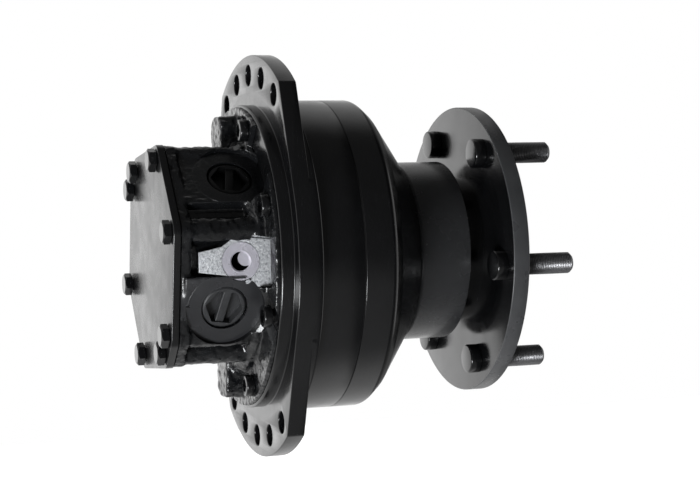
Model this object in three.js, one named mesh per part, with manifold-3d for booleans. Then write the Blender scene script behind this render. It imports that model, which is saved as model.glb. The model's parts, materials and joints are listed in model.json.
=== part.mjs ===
// A low-speed radial-piston wheel motor: chassis flange with two ears, cam-ring drum, tapered bearing
// housing, turning wheel flange with studs, and a rear casting with two work ports and a drain port.
// Millimetres. +X runs along the shaft to the wheel flange, +Z is up, and the origin is on the shaft
// axis in the plane of the mounting plate's rear face. Angles around the shaft are measured in degrees
// from the -Y side, turning up towards +Z.

import * as THREE from "three";
import { mergeVertices } from "three/addons/utils/BufferGeometryUtils.js";
import Module from "manifold-3d";

const wasm = await Module();
wasm.setup();

// ---------------------------------------------------------------- driving dimensions

const GAP = 0.3;
const ROUND = 32;
const OVERCUT = 1;

const WHEEL_FLANGE = {
  r: 125, back: 187, front: 201, pilotR: 80, pilotEnd: 209, recessR: 34, recessX: 204,
};
const STUD = {
  count: 6, circleR: 102.5, firstAngle: -6, r: 9, headR: 12.6, headLength: 9.5,
  chamfer: 1.5, tip: 248,
};

const PLATE = { earEnd: 14.5, earR: 170, earSpread: 33.7, roundEnd: 20.7, roundR: 140, boreR: 60.5 };
const PILOT = { r: 128, height: 10.8, recessR: 103, recessX: -7 };
const EAR_HOLES = { count: 5, circleR: 153.3, pitch: 15.2, r: 9 };

const DRUM = { r: 131.8, start: 21, end: 57.5, cavityR: 104, cavityEnd: 68 };
const CAM = { lobes: 6, meanR: 98.4, lift: 5, troughAngle: -7.5, points: 72 };

const HOUSING = {
  start: 57.8, drumEnd: 83, shoulderX: 90.6, shoulderR: 125, neckStart: 125, neckR: 77.5,
  end: 169.5,
};
const BORES = {
  mouthR: 74, innerR: 66.2, innerStart: 82, innerEnd: 104, waistR: 60, outerR: 68.2,
  outerStart: 128,
};

const HOUSING_BOLT = {
  count: 8, circleR: 113.5, firstAngle: 22.5, r: 6, headR: 9, headLength: 6.5, tip: 76,
};
const HOUSING_SOCKET = { flats: 10, depth: 4 };

const REAR = {
  start: -81.6, end: -7.3, footStart: -20, footR: 101, footBevel: 6, flangeStart: -14.3,
  flangeR: 125.5, coreR: 77, bossR: 10.5, bossCircleR: 89,
};
const REAR_BORES = {
  faceR: 52.4, faceX: -24.4, seatR: 44.4, seatX: -45, passageR: 30, pocketR: 58,
  pocketX: -62,
};
const END_COVER = { back: -88.5, front: -82.3, cornerR: 12.5, rimDepth: 8 };
const COVER_BOLT = {
  angles: [16, 67, 124, 139, 196, 247, 304, 319],
  r: 5, acrossFlats: 17, head: 7, tip: -36,
};

const PORT = {
  faceR: 91, discR: 30.5, spotR: 31.5, step: 3, boreR: 16.3, sinkR: 18.8, sinkDepth: 4.5,
  floorR: 62,
};
const PORT_BLOCK = { start: -79, end: -12, halfWidth: 27 };
const PORT_PASSAGE = { x: -36, r: 6, innerR: 38 };
const PORT_A = { x: -46, angle: -24 };
const PORT_B = { x: -34, angle: 46.5 };
const PLUG = {
  headR: 18.4, headTop: 90.4, shankR: 16, bottom: 73, hexFlats: 27, hexDepth: 8, web: 5,
  webDrop: 2, tilt: 78,
};

const DRAIN = { x: -34, faceR: 92, spotR: 15.7, holeR: 7.5, depth: 15, tipR: 74 };
// Corners of the raised pad around the drain port, as [x, distance below the port's centre line].
const PAD = {
  topR: 92.5,
  bottomR: 55,
  corners: [[-68, -8], [-49, -12], [-38, -20], [-9, -17], [-9, 21], [-19, 21], [-46, 11], [-68, 8]],
};
const LUG = { start: -29.5, end: -11.5, topR: 118.5, halfWidth: 17, corner: 6 };

const BLOCK = { start: 24.5, end: 56.5, r: 78, boreR: 13.05, boreBottomR: 45 };
const PISTON = { count: 8, pitch: 45, r: 13, bottom: 49, top: 82, hollowR: 7, hollowDepth: 12 };
const ROLLER = { r: 9.5, length: 20, centreR: 83.5, clearance: 0.35 };
const SPLINE = { teeth: 18, rootR: 24, tipR: 27, start: 26, end: 60 };

const SHAFT = { relief: 23, collar: 36, innerSeat: 40, shoulder: 44, outerSeat: 50, sealR: 56, hubR: 63 };
const SHAFT_STEPS = { collar: 66, innerSeat: 82, shoulder: 108, outerSeat: 126, seal: 151, hub: 168 };
const INNER_BEARING = {
  start: 82.3, end: 105, cupEnd: 103.6, boreR: 40.5, coneR: 59, smallR: 55, ribR: 48,
  cupR: 65.9,
};
const OUTER_BEARING = {
  start: 126.4, end: 150.5, cupStart: 128.4, cupEnd: 149, boreR: 50.6, smallR: 59,
  coneR: 62.9, cupR: 67.9,
};
const NUT = { start: 70, end: 81.6, boreR: 36.4, r: 47 };
const SEAL = { start: 155, end: 168, r: 67.9, ringR: 60, faceR: 59, lipR: 56.9, lipX: 163, backX: 160 };
const GASKET = { inner: 59, outer: 74, clearance: 0.05 };
const DISTRIBUTOR = {
  start: -40, step: -24, face: 0, end: 23.7, boreR: 26, smallR: 44, midR: 52, faceR: 58,
};

// ---------------------------------------------------------------- materials

function blackPaint() {
  return new THREE.MeshStandardMaterial({ color: 0x17181a, roughness: 0.3, metalness: 0.2 });
}

function greyPaint() {
  return new THREE.MeshStandardMaterial({ color: 0x3a3c3f, roughness: 0.35, metalness: 0.2 });
}

function blackOxide() {
  return new THREE.MeshStandardMaterial({ color: 0x26272a, roughness: 0.45, metalness: 0.7 });
}

function groundSteel() {
  return new THREE.MeshStandardMaterial({ color: 0xb9bcc0, roughness: 0.25, metalness: 1 });
}

function darkSteel() {
  return new THREE.MeshStandardMaterial({ color: 0x6f7276, roughness: 0.4, metalness: 1 });
}

function castIron() {
  return new THREE.MeshStandardMaterial({ color: 0x55575a, roughness: 0.6, metalness: 0.8 });
}

function plugPlastic() {
  return new THREE.MeshStandardMaterial({ color: 0x4a4c4f, roughness: 0.5, metalness: 0 });
}

function sealRubber() {
  return new THREE.MeshStandardMaterial({ color: 0x1c1c1c, roughness: 0.8, metalness: 0 });
}

// ---------------------------------------------------------------- geometry helpers

function radians(degrees) {
  return (degrees * Math.PI) / 180;
}

function signedVolume(positions, index) {
  const a = new THREE.Vector3();
  const b = new THREE.Vector3();
  const c = new THREE.Vector3();
  let volume = 0;
  for (let i = 0; i < index.length; i += 3) {
    a.fromArray(positions, index[i] * 3);
    b.fromArray(positions, index[i + 1] * 3);
    c.fromArray(positions, index[i + 2] * 3);
    volume += a.dot(b.cross(c)) / 6;
  }
  return volume;
}

// Merges shared vertices, drops triangles with no area and turns the faces outwards.
function welded(source) {
  const bare = new THREE.BufferGeometry();
  bare.setAttribute("position", source.getAttribute("position"));
  bare.setIndex(source.getIndex());
  const merged = mergeVertices(bare, 1e-3);
  const positions = merged.getAttribute("position").array;
  const old = merged.getIndex().array;
  let kept = [];
  for (let i = 0; i < old.length; i += 3) {
    const [a, b, c] = [old[i], old[i + 1], old[i + 2]];
    if (a !== b && b !== c && c !== a) {
      kept.push(a, b, c);
    }
  }
  if (signedVolume(positions, kept) < 0) {
    kept = kept.reverse();
  }
  merged.setIndex(kept);
  return merged;
}

function solidOf(geometry) {
  const closed = welded(geometry);
  const vertProperties = new Float32Array(closed.getAttribute("position").array);
  const triVerts = new Uint32Array(closed.getIndex().array);
  return new wasm.Manifold(new wasm.Mesh({ numProp: 3, vertProperties, triVerts }));
}

function geometryOf(solid) {
  const mesh = solid.getMesh();
  const geometry = new THREE.BufferGeometry();
  geometry.setAttribute("position", new THREE.BufferAttribute(mesh.vertProperties, 3));
  geometry.setIndex(new THREE.BufferAttribute(mesh.triVerts, 1));
  return geometry;
}

// Joins the first list of geometries and cuts the second list from them.
function carved(parts, cuts = []) {
  let solid = solidOf(parts[0]);
  for (const part of parts.slice(1)) {
    solid = solid.add(solidOf(part));
  }
  for (const cut of cuts) {
    solid = solid.subtract(solidOf(cut));
  }
  return geometryOf(solid);
}

// Revolves [x, radius] points about the shaft axis. A ring's profile closes on itself.
function revolved(profile, segments = ROUND) {
  const points = profile.map(([x, r]) => new THREE.Vector2(r, x));
  return new THREE.LatheGeometry(points, segments).rotateZ(-Math.PI / 2);
}

function ring(x0, x1, inner, outer, segments = ROUND) {
  const profile = [[x0, inner], [x0, outer], [x1, outer], [x1, inner], [x0, inner]];
  return revolved(profile, segments);
}

function rod(x0, x1, r, segments = 16) {
  return revolved([[x0, 0], [x0, r], [x1, r], [x1, 0]], segments);
}

// Extrudes a YZ outline, or a shape with holes, from x0 to x1.
function prism(outline, x0, x1) {
  const shape = outline instanceof THREE.Shape ? outline : new THREE.Shape(outline);
  const solid = new THREE.ExtrudeGeometry(shape, { depth: x1 - x0, bevelEnabled: false, curveSegments: 1 });
  const axes = new THREE.Matrix4().makeBasis(
    new THREE.Vector3(0, 1, 0),
    new THREE.Vector3(0, 0, 1),
    new THREE.Vector3(1, 0, 0),
  );
  return solid.applyMatrix4(axes).translate(x0, 0, 0);
}

function polygon(sides, acrossFlats, phase = 0) {
  const r = acrossFlats / 2 / Math.cos(Math.PI / sides);
  const points = [];
  for (let i = 0; i < sides; i += 1) {
    const a = ((i + phase) * 2 * Math.PI) / sides;
    points.push(new THREE.Vector2(r * Math.cos(a), r * Math.sin(a)));
  }
  return points;
}

// The YZ point at a radius and an angle around the shaft.
function around(r, angle) {
  const a = radians(angle);
  return new THREE.Vector2(-r * Math.cos(a), r * Math.sin(a));
}

function moved(geometry, r, angle) {
  const place = around(r, angle);
  return geometry.translate(0, place.x, place.y);
}

// Turns a piece made along +X so that it points outwards at an angle around the shaft, at a given x.
function radial(geometry, x, angle) {
  const a = radians(angle);
  const out = new THREE.Vector3(0, -Math.cos(a), Math.sin(a));
  const along = new THREE.Vector3(1, 0, 0);
  const side = along.clone().cross(out);
  const place = new THREE.Matrix4().makeBasis(out, side, along).setPosition(x, 0, 0);
  return geometry.applyMatrix4(place);
}

// The convex outline around equal circles at the given angles, with its round corners as arcs.
function beltOutline(circleR, cornerR, angles, steps = 3) {
  const points = [];
  const count = angles.length;
  for (let i = 0; i < count; i += 1) {
    const centre = around(circleR, angles[i]);
    const before = around(circleR, angles[(i + count - 1) % count]);
    const after = around(circleR, angles[(i + 1) % count]);
    const outwards = (from, to) => Math.atan2(to.y - from.y, to.x - from.x) + Math.PI / 2;
    const first = outwards(before, centre);
    let turn = outwards(centre, after) - first;
    turn -= 2 * Math.PI * Math.round(turn / (2 * Math.PI));
    for (let j = 0; j <= steps; j += 1) {
      const a = first + (turn * j) / steps;
      points.push(new THREE.Vector2(centre.x + cornerR * Math.cos(a), centre.y + cornerR * Math.sin(a)));
    }
  }
  return points;
}

// A spline's toothed outline, grown by an amount for the mating bore.
function splineOutline(grow) {
  const points = [];
  for (let i = 0; i < SPLINE.teeth * 4; i += 1) {
    const a = ((i + 0.5) * Math.PI) / (SPLINE.teeth * 2);
    const r = (i % 4 < 2 ? SPLINE.tipR : SPLINE.rootR) + grow;
    points.push(new THREE.Vector2(r * Math.cos(a), r * Math.sin(a)));
  }
  return points;
}

function named(name, geometry, material) {
  const mesh = new THREE.Mesh(geometry, material);
  mesh.name = name;
  return mesh;
}

// ---------------------------------------------------------------- chassis side

// Two ear arcs joined by straight sides that run into the round centre as tangents.
function plateOutline() {
  const { earR, earSpread, roundR } = PLATE;
  const tangent = 90 - earSpread - (Math.acos(roundR / earR) * 180) / Math.PI;
  const arcs = [
    { r: earR, middle: 90, spread: earSpread, steps: 10 },
    { r: roundR, middle: 180, spread: tangent, steps: 4 },
    { r: earR, middle: 270, spread: earSpread, steps: 10 },
    { r: roundR, middle: 360, spread: tangent, steps: 4 },
  ];
  return arcs.flatMap(({ r, middle, spread, steps }) =>
    Array.from({ length: steps + 1 }, (_, i) => around(r, middle - spread + (2 * spread * i) / steps)),
  );
}

function earHoles() {
  const holes = [];
  for (const middle of [90, -90]) {
    for (let i = 0; i < EAR_HOLES.count; i += 1) {
      const angle = middle + (i - (EAR_HOLES.count - 1) / 2) * EAR_HOLES.pitch;
      holes.push(moved(rod(-OVERCUT, PLATE.earEnd + OVERCUT, EAR_HOLES.r, 14), EAR_HOLES.circleR, angle));
    }
  }
  return holes;
}

function evenAngles(count, firstAngle) {
  return Array.from({ length: count }, (_, i) => firstAngle + (i * 360) / count);
}

const HOUSING_BOLT_ANGLES = evenAngles(HOUSING_BOLT.count, HOUSING_BOLT.firstAngle);
const STUD_ANGLES = evenAngles(STUD.count, STUD.firstAngle);

function housingBoltHoles(x0, x1) {
  return HOUSING_BOLT_ANGLES.map((angle) =>
    moved(rod(x0 - OVERCUT, x1 + OVERCUT, HOUSING_BOLT.r + GAP, 12), HOUSING_BOLT.circleR, angle),
  );
}

function mountingPlate() {
  const round = revolved([
    [PILOT.recessX, PLATE.boreR],
    [PILOT.recessX, PILOT.recessR],
    [-PILOT.height, PILOT.recessR],
    [-PILOT.height, PILOT.r],
    [0, PILOT.r],
    [0, PLATE.roundR],
    [PLATE.roundEnd, PLATE.roundR],
    [PLATE.roundEnd, PLATE.boreR],
    [PILOT.recessX, PLATE.boreR],
  ]);
  const middle = rod(-OVERCUT, PLATE.earEnd + OVERCUT, PLATE.boreR + 5, ROUND);
  const ears = carved([prism(plateOutline(), 0, PLATE.earEnd)], [middle]);
  return carved([round, ears], [...earHoles(), ...housingBoltHoles(-PILOT.height, PLATE.roundEnd)]);
}

function camRing() {
  const outer = new THREE.Shape();
  outer.absarc(0, 0, DRUM.r, 0, 2 * Math.PI, false);
  const rim = new THREE.Shape(outer.getPoints(ROUND / 2).slice(0, -1));
  const inner = [];
  for (let i = 0; i < CAM.points; i += 1) {
    const angle = (i * 360) / CAM.points;
    const r = CAM.meanR + CAM.lift * Math.cos(CAM.lobes * radians(angle - CAM.troughAngle));
    inner.push(around(r, angle));
  }
  rim.holes.push(new THREE.Path(inner));
  return carved([prism(rim, DRUM.start, DRUM.end)], housingBoltHoles(DRUM.start, DRUM.end));
}

function frontHousing() {
  const h = HOUSING;
  const b = BORES;
  const body = revolved([
    [h.start, DRUM.cavityR],
    [h.start, DRUM.r],
    [h.drumEnd, DRUM.r],
    [h.shoulderX - 2, DRUM.r - 2.5],
    [h.shoulderX, h.shoulderR],
    [h.neckStart - 3, h.neckR + 3.5],
    [h.neckStart - 1, h.neckR + 1],
    [h.neckStart + 3, h.neckR],
    [h.end, h.neckR],
    [h.end, b.outerR],
    [b.outerStart, b.outerR],
    [b.outerStart, b.waistR],
    [b.innerEnd, b.waistR],
    [b.innerEnd, b.innerR],
    [b.innerStart, b.innerR],
    [b.innerStart, b.mouthR],
    [DRUM.cavityEnd, DRUM.cavityR],
    [h.start, DRUM.cavityR],
  ]);
  return carved([body], housingBoltHoles(h.start, HOUSING_BOLT.tip));
}

function housingBolt(angle) {
  const b = HOUSING_BOLT;
  const seat = REAR.flangeStart - GAP;
  const top = seat - b.headLength;
  const profile = [
    [top, 0],
    [top, b.headR - 1],
    [top + 1, b.headR],
    [seat, b.headR],
    [seat, b.r],
    [b.tip, b.r],
    [b.tip, 0],
  ];
  const socket = prism(polygon(6, HOUSING_SOCKET.flats), top - OVERCUT, top + HOUSING_SOCKET.depth);
  return moved(carved([revolved(profile, 12)], [socket]), b.circleR, angle);
}

// ---------------------------------------------------------------- rear casting

function coverBoltHoles(x0, x1) {
  const r = COVER_BOLT.r + GAP;
  return COVER_BOLT.angles.map((angle) =>
    moved(rod(x0 - OVERCUT, x1 + OVERCUT, r, 12), REAR.bossCircleR, angle),
  );
}

function portBlock(port) {
  const half = PORT_BLOCK.halfWidth;
  const start = PORT_BLOCK.start - port.x;
  const end = PORT_BLOCK.end - port.x;
  const outline = [[-half, start], [half, start], [half, end], [-half, end]];
  const points = outline.map(([side, along]) => new THREE.Vector2(side, along));
  return [
    radial(prism(points, 30, PORT.faceR - PORT.step), port.x, port.angle),
    radial(prism(discOutline(PORT.discR, half), 30, PORT.faceR), port.x, port.angle),
  ];
}

// A circle with its two sides cut off flat at the given half width.
function discOutline(r, half) {
  const steps = 8;
  const reach = Math.asin(half / r);
  const points = [];
  for (const middle of [0, Math.PI]) {
    for (let k = 0; k <= steps; k += 1) {
      const a = middle - reach + (2 * reach * k) / steps;
      points.push(new THREE.Vector2(r * Math.sin(a), r * Math.cos(a)));
    }
  }
  return points;
}

// The spotface over a port, the sink for its plug's head, its bore and the passage to the middle.
function portCuts(port) {
  const clear = REAR.flangeR + 5;
  return [
    radial(rod(PORT.faceR, clear, PORT.spotR, 24), port.x, port.angle),
    radial(rod(PORT.faceR - PORT.sinkDepth, clear, PORT.sinkR, 20), port.x, port.angle),
    radial(rod(PORT.floorR, PORT.faceR, PORT.boreR, 20), port.x, port.angle),
    radial(rod(PORT_PASSAGE.innerR, PORT.floorR + OVERCUT, PORT_PASSAGE.r, 8), PORT_PASSAGE.x, port.angle),
  ];
}

function drainPad(bottom, top) {
  const points = PAD.corners.map(([x, below]) => new THREE.Vector2(below, x));
  return radial(prism(points, bottom, top), 0, 0);
}

function drainCuts() {
  const hole = [
    [DRAIN.tipR, 0],
    [DRAIN.faceR - DRAIN.depth, DRAIN.holeR],
    [DRAIN.faceR + OVERCUT, DRAIN.holeR],
    [DRAIN.faceR + OVERCUT, 0],
  ];
  return [
    drainPad(PAD.topR, REAR.footR + 10),
    radial(rod(DRAIN.faceR, PAD.topR + OVERCUT, DRAIN.spotR, 20), DRAIN.x, 0),
    radial(revolved(hole, 12), DRAIN.x, 0),
  ];
}

function lug(angle) {
  const w = LUG.halfWidth;
  const shoulder = LUG.topR - LUG.corner;
  const flat = w - LUG.corner;
  const outline = [[-w, 0], [w, 0], [w, shoulder], [flat, LUG.topR], [-flat, LUG.topR], [-w, shoulder]];
  const points = outline.map(([y, z]) => new THREE.Vector2(y, z));
  return prism(points, LUG.start, LUG.end).rotateX(-radians(angle - 90));
}

// The round foot, with the flange that the housing bolts clamp against the raised pilot.
function rearFoot() {
  const seat = -PILOT.height - GAP;
  return revolved([
    [REAR.footStart - REAR.footBevel, 0],
    [REAR.footStart - REAR.footBevel, REAR.footR - 9],
    [REAR.footStart, REAR.footR],
    [REAR.flangeStart, REAR.footR],
    [REAR.flangeStart, REAR.flangeR],
    [seat, REAR.flangeR],
    [seat, REAR.footR],
    [REAR.end, REAR.footR],
    [REAR.end, 0],
  ]);
}

function rearBores() {
  const b = REAR_BORES;
  const stepped = [
    [b.seatX, 0],
    [b.seatX, b.seatR],
    [b.faceX, b.seatR],
    [b.faceX, b.faceR],
    [REAR.end + OVERCUT, b.faceR],
    [REAR.end + OVERCUT, 0],
  ];
  return [
    revolved(stepped, 24),
    rod(REAR.start - OVERCUT, b.pocketX, b.pocketR, 24),
    rod(b.pocketX - OVERCUT, b.seatX + OVERCUT, b.passageR, 16),
  ];
}

function rearCover() {
  const rimOutline = beltOutline(REAR.bossCircleR, END_COVER.cornerR - 1, COVER_BOLT.angles);
  const parts = [
    rearFoot(),
    rod(REAR.start, REAR.end - OVERCUT, REAR.coreR, 24),
    ...COVER_BOLT.angles.map((angle) =>
      moved(rod(REAR.start, REAR.footStart + 5, REAR.bossR, 12), REAR.bossCircleR, angle),
    ),
    ...portBlock(PORT_A),
    ...portBlock(PORT_B),
    drainPad(PAD.bottomR, PAD.topR),
    prism(rimOutline, REAR.start, REAR.start + END_COVER.rimDepth),
    lug(90),
    lug(-90),
  ];
  const cuts = [
    ...rearBores(),
    ...portCuts(PORT_A),
    ...portCuts(PORT_B),
    ...drainCuts(),
    ...coverBoltHoles(REAR.start, COVER_BOLT.tip),
    ...housingBoltHoles(REAR.flangeStart, -PILOT.height),
    rod(REAR.end, REAR.end + 20, REAR.footR + 20, ROUND),
  ];
  return carved(parts, cuts);
}

function endCover() {
  const outline = beltOutline(REAR.bossCircleR, END_COVER.cornerR, COVER_BOLT.angles);
  const holes = coverBoltHoles(END_COVER.back, END_COVER.front);
  return carved([prism(outline, END_COVER.back, END_COVER.front)], holes);
}

function coverBolt(angle) {
  const b = COVER_BOLT;
  const seat = END_COVER.back - GAP;
  const head = prism(polygon(6, b.acrossFlats, 0.3), seat - b.head, seat);
  const shank = rod(seat - OVERCUT, b.tip, b.r, 12);
  return moved(carved([head, shank]), REAR.bossCircleR, angle);
}

// A plug with a hexagon recess that a web divides. The recess is turned by the plug's tilt.
function portPlug(port) {
  const p = PLUG;
  const sinkFloor = PORT.faceR - PORT.sinkDepth + GAP;
  const profile = [
    [p.bottom, 0],
    [p.bottom, p.shankR],
    [sinkFloor, p.shankR],
    [sinkFloor, p.headR],
    [p.headTop, p.headR],
    [p.headTop, 0],
  ];
  const floor = p.headTop - p.hexDepth;
  const half = p.web / 2;
  const corners = [[-half, -p.shankR], [half, -p.shankR], [half, p.shankR], [-half, p.shankR]];
  const webOutline = corners.map(([y, z]) => new THREE.Vector2(y, z));
  const recess = prism(polygon(6, p.hexFlats, 0.5), floor, p.headTop + OVERCUT);
  const web = prism(webOutline, floor - OVERCUT, p.headTop - p.webDrop);
  const hollow = carved([recess], [web]).rotateX(radians(p.tilt));
  return radial(carved([revolved(profile, 20)], [hollow]), port.x, port.angle);
}

// ---------------------------------------------------------------- wheel side

function wheelShaft() {
  const w = WHEEL_FLANGE;
  const r = SHAFT;
  const x = SHAFT_STEPS;
  const body = revolved([
    [SPLINE.end - 2, 0],
    [SPLINE.end - 2, r.relief],
    [x.collar, r.relief],
    [x.collar, r.collar],
    [x.innerSeat, r.collar],
    [x.innerSeat, r.innerSeat],
    [x.shoulder, r.innerSeat],
    [x.shoulder, r.shoulder],
    [x.outerSeat, r.shoulder],
    [x.outerSeat, r.outerSeat],
    [x.seal, r.outerSeat],
    [x.seal, r.sealR],
    [x.hub, r.sealR],
    [x.hub + 2, r.hubR],
    [w.back, r.hubR],
    [w.back, w.r],
    [w.front, w.r],
    [w.front, w.pilotR],
    [w.pilotEnd - 2, w.pilotR],
    [w.pilotEnd, w.pilotR - 2],
    [w.pilotEnd, w.recessR],
    [w.recessX, w.recessR],
    [w.recessX, 0],
  ]);
  const spline = prism(splineOutline(0), SPLINE.start, SPLINE.end - OVERCUT);
  const holes = STUD_ANGLES.map((angle) =>
    moved(rod(w.back - OVERCUT, w.front + OVERCUT, STUD.r + GAP, 14), STUD.circleR, angle),
  );
  return carved([body, spline], holes);
}

function wheelStud(angle) {
  const seat = WHEEL_FLANGE.back - GAP;
  const top = seat - STUD.headLength;
  const profile = [
    [top, 0],
    [top, STUD.headR - STUD.chamfer],
    [top + STUD.chamfer, STUD.headR],
    [seat, STUD.headR],
    [seat, STUD.r],
    [STUD.tip - 2 * STUD.chamfer, STUD.r],
    [STUD.tip, STUD.r - 2 * STUD.chamfer],
    [STUD.tip, 0],
  ];
  return moved(revolved(profile, 14), STUD.circleR, angle);
}

// ---------------------------------------------------------------- inside

const BLOCK_MIDDLE = (BLOCK.start + BLOCK.end) / 2;

function cylinderBlock() {
  const bores = evenAngles(PISTON.count, 0).map((angle) =>
    radial(rod(BLOCK.boreBottomR, BLOCK.r + OVERCUT, BLOCK.boreR, 16), BLOCK_MIDDLE, angle),
  );
  const spline = prism(splineOutline(GAP), BLOCK.start - OVERCUT, BLOCK.end + OVERCUT);
  return carved([rod(BLOCK.start, BLOCK.end, BLOCK.r, ROUND)], [...bores, spline]);
}

function piston(index) {
  const p = PISTON;
  const hollow = rod(p.bottom - OVERCUT, p.bottom + p.hollowDepth, p.hollowR, 10);
  const cradle = rod(-p.r - OVERCUT, p.r + OVERCUT, ROLLER.r + ROLLER.clearance, 16);
  cradle.rotateY(Math.PI / 2).translate(ROLLER.centreR, 0, 0);
  return radial(carved([rod(p.bottom, p.top, p.r, 16)], [hollow, cradle]), BLOCK_MIDDLE, index * p.pitch);
}

function roller(index) {
  const half = ROLLER.length / 2;
  const body = rod(BLOCK_MIDDLE - half, BLOCK_MIDDLE + half, ROLLER.r, 12);
  return moved(body, ROLLER.centreR, index * PISTON.pitch);
}

function distributor() {
  const d = DISTRIBUTOR;
  const profile = [
    [d.start, d.boreR],
    [d.start, d.smallR],
    [d.step, d.smallR],
    [d.step, d.midR],
    [d.face, d.midR],
    [d.face, d.faceR],
    [d.end, d.faceR],
    [d.end, d.boreR],
    [d.start, d.boreR],
  ];
  return revolved(profile, 24);
}

function innerBearingCup() {
  const b = INNER_BEARING;
  const start = b.start + 0.2;
  return revolved([
    [start, b.coneR + 1],
    [start, b.cupR],
    [b.cupEnd, b.cupR],
    [b.cupEnd, b.smallR + 1],
    [start, b.coneR + 1],
  ]);
}

function innerBearingCone() {
  const b = INNER_BEARING;
  return revolved([
    [b.start, b.boreR],
    [b.start, b.coneR],
    [b.cupEnd - GAP, b.smallR],
    [b.end, b.ribR],
    [b.end, b.boreR],
    [b.start, b.boreR],
  ]);
}

function outerBearingCup() {
  const b = OUTER_BEARING;
  return revolved([
    [b.cupStart, b.smallR + 1],
    [b.cupStart, b.cupR],
    [b.cupEnd, b.cupR],
    [b.cupEnd, b.coneR + 1.1],
    [b.cupStart, b.smallR + 1],
  ]);
}

function outerBearingCone() {
  const b = OUTER_BEARING;
  return revolved([
    [b.start, b.boreR],
    [b.start, b.smallR - 5],
    [b.cupStart, b.smallR],
    [b.end - 1, b.coneR],
    [b.end, b.boreR],
    [b.start, b.boreR],
  ]);
}

function bearingNut() {
  return ring(NUT.start, NUT.end, NUT.boreR, NUT.r);
}

function shaftSeal() {
  const s = SEAL;
  return revolved([
    [s.start, s.ringR],
    [s.start, s.r],
    [s.end, s.r],
    [s.end, s.faceR],
    [s.lipX, s.lipR],
    [s.backX, s.ringR],
    [s.start, s.ringR],
  ]);
}

function endGasket() {
  const g = GASKET;
  return ring(END_COVER.front + g.clearance, REAR.start - g.clearance, g.inner, g.outer, 24);
}

// ---------------------------------------------------------------- assembly

const motor = new THREE.Group();
motor.add(named("mounting_plate", mountingPlate(), blackPaint()));
motor.add(named("cam_ring", camRing(), blackPaint()));
motor.add(named("front_housing", frontHousing(), blackPaint()));
motor.add(named("rear_cover", rearCover(), blackPaint()));
motor.add(named("end_cover", endCover(), greyPaint()));
motor.add(named("port_plug_a", portPlug(PORT_A), plugPlastic()));
motor.add(named("port_plug_b", portPlug(PORT_B), plugPlastic()));
motor.add(named("wheel_shaft", wheelShaft(), blackPaint()));
motor.add(named("cylinder_block", cylinderBlock(), groundSteel()));
motor.add(named("distributor", distributor(), castIron()));
motor.add(named("inner_bearing_cup", innerBearingCup(), groundSteel()));
motor.add(named("inner_bearing_cone", innerBearingCone(), groundSteel()));
motor.add(named("outer_bearing_cup", outerBearingCup(), groundSteel()));
motor.add(named("outer_bearing_cone", outerBearingCone(), groundSteel()));
motor.add(named("bearing_nut", bearingNut(), darkSteel()));
motor.add(named("shaft_seal", shaftSeal(), sealRubber()));
motor.add(named("end_gasket", endGasket(), sealRubber()));

COVER_BOLT.angles.forEach((angle, i) => {
  motor.add(named(`cover_bolt_${i + 1}`, coverBolt(angle), blackOxide()));
});
HOUSING_BOLT_ANGLES.forEach((angle, i) => {
  motor.add(named(`housing_bolt_${i + 1}`, housingBolt(angle), blackOxide()));
});
STUD_ANGLES.forEach((angle, i) => {
  motor.add(named(`wheel_stud_${i + 1}`, wheelStud(angle), blackOxide()));
});
for (let i = 0; i < PISTON.count; i += 1) {
  motor.add(named(`piston_${i + 1}`, piston(i), darkSteel()));
  motor.add(named(`roller_${i + 1}`, roller(i), groundSteel()));
}

export default motor;
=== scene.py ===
import json
import math

import bmesh
import bpy
from mathutils import Matrix, Vector, noise


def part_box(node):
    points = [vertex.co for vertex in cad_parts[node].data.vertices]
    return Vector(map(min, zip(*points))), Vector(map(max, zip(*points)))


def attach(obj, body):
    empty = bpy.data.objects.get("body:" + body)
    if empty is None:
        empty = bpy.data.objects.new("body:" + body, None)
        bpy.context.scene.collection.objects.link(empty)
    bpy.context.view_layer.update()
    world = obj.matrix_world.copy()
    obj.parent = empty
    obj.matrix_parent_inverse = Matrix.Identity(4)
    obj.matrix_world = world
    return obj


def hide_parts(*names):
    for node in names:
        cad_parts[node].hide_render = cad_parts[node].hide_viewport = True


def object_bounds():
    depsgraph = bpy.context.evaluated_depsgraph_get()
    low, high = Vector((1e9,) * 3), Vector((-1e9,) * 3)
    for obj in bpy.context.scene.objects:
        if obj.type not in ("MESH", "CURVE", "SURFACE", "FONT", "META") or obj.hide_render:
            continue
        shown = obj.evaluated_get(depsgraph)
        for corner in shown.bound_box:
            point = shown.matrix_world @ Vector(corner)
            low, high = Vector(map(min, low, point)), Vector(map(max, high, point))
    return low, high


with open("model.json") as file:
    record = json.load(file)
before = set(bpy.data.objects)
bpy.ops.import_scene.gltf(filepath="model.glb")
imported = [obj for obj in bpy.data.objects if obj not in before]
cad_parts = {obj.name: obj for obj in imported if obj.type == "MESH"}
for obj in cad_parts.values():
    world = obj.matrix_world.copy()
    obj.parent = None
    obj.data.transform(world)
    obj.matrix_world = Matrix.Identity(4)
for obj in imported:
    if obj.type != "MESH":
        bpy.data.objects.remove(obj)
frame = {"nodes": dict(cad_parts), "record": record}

CAD_BOX = [list(corner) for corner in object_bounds()]

# Lengths are in millimetres until a mesh is made. Angles around the shaft are in degrees from the -Y
# side, turning up towards +Z, as in the CAD.
MM = 0.001
HOUSING = "housing"
ROTOR = "rotor"


def box_mm(node):
    low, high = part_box(node)
    return low / MM, high / MM


PLATE_LOW, PLATE_HIGH = box_mm("mounting_plate")
CAM_LOW, CAM_HIGH = box_mm("cam_ring")
DRUM_LOW, DRUM_HIGH = box_mm("front_housing")
SHAFT_HIGH = box_mm("wheel_shaft")[1]
REAR_LOW, REAR_HIGH = box_mm("rear_cover")
COVER_LOW, COVER_HIGH = box_mm("end_cover")

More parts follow.
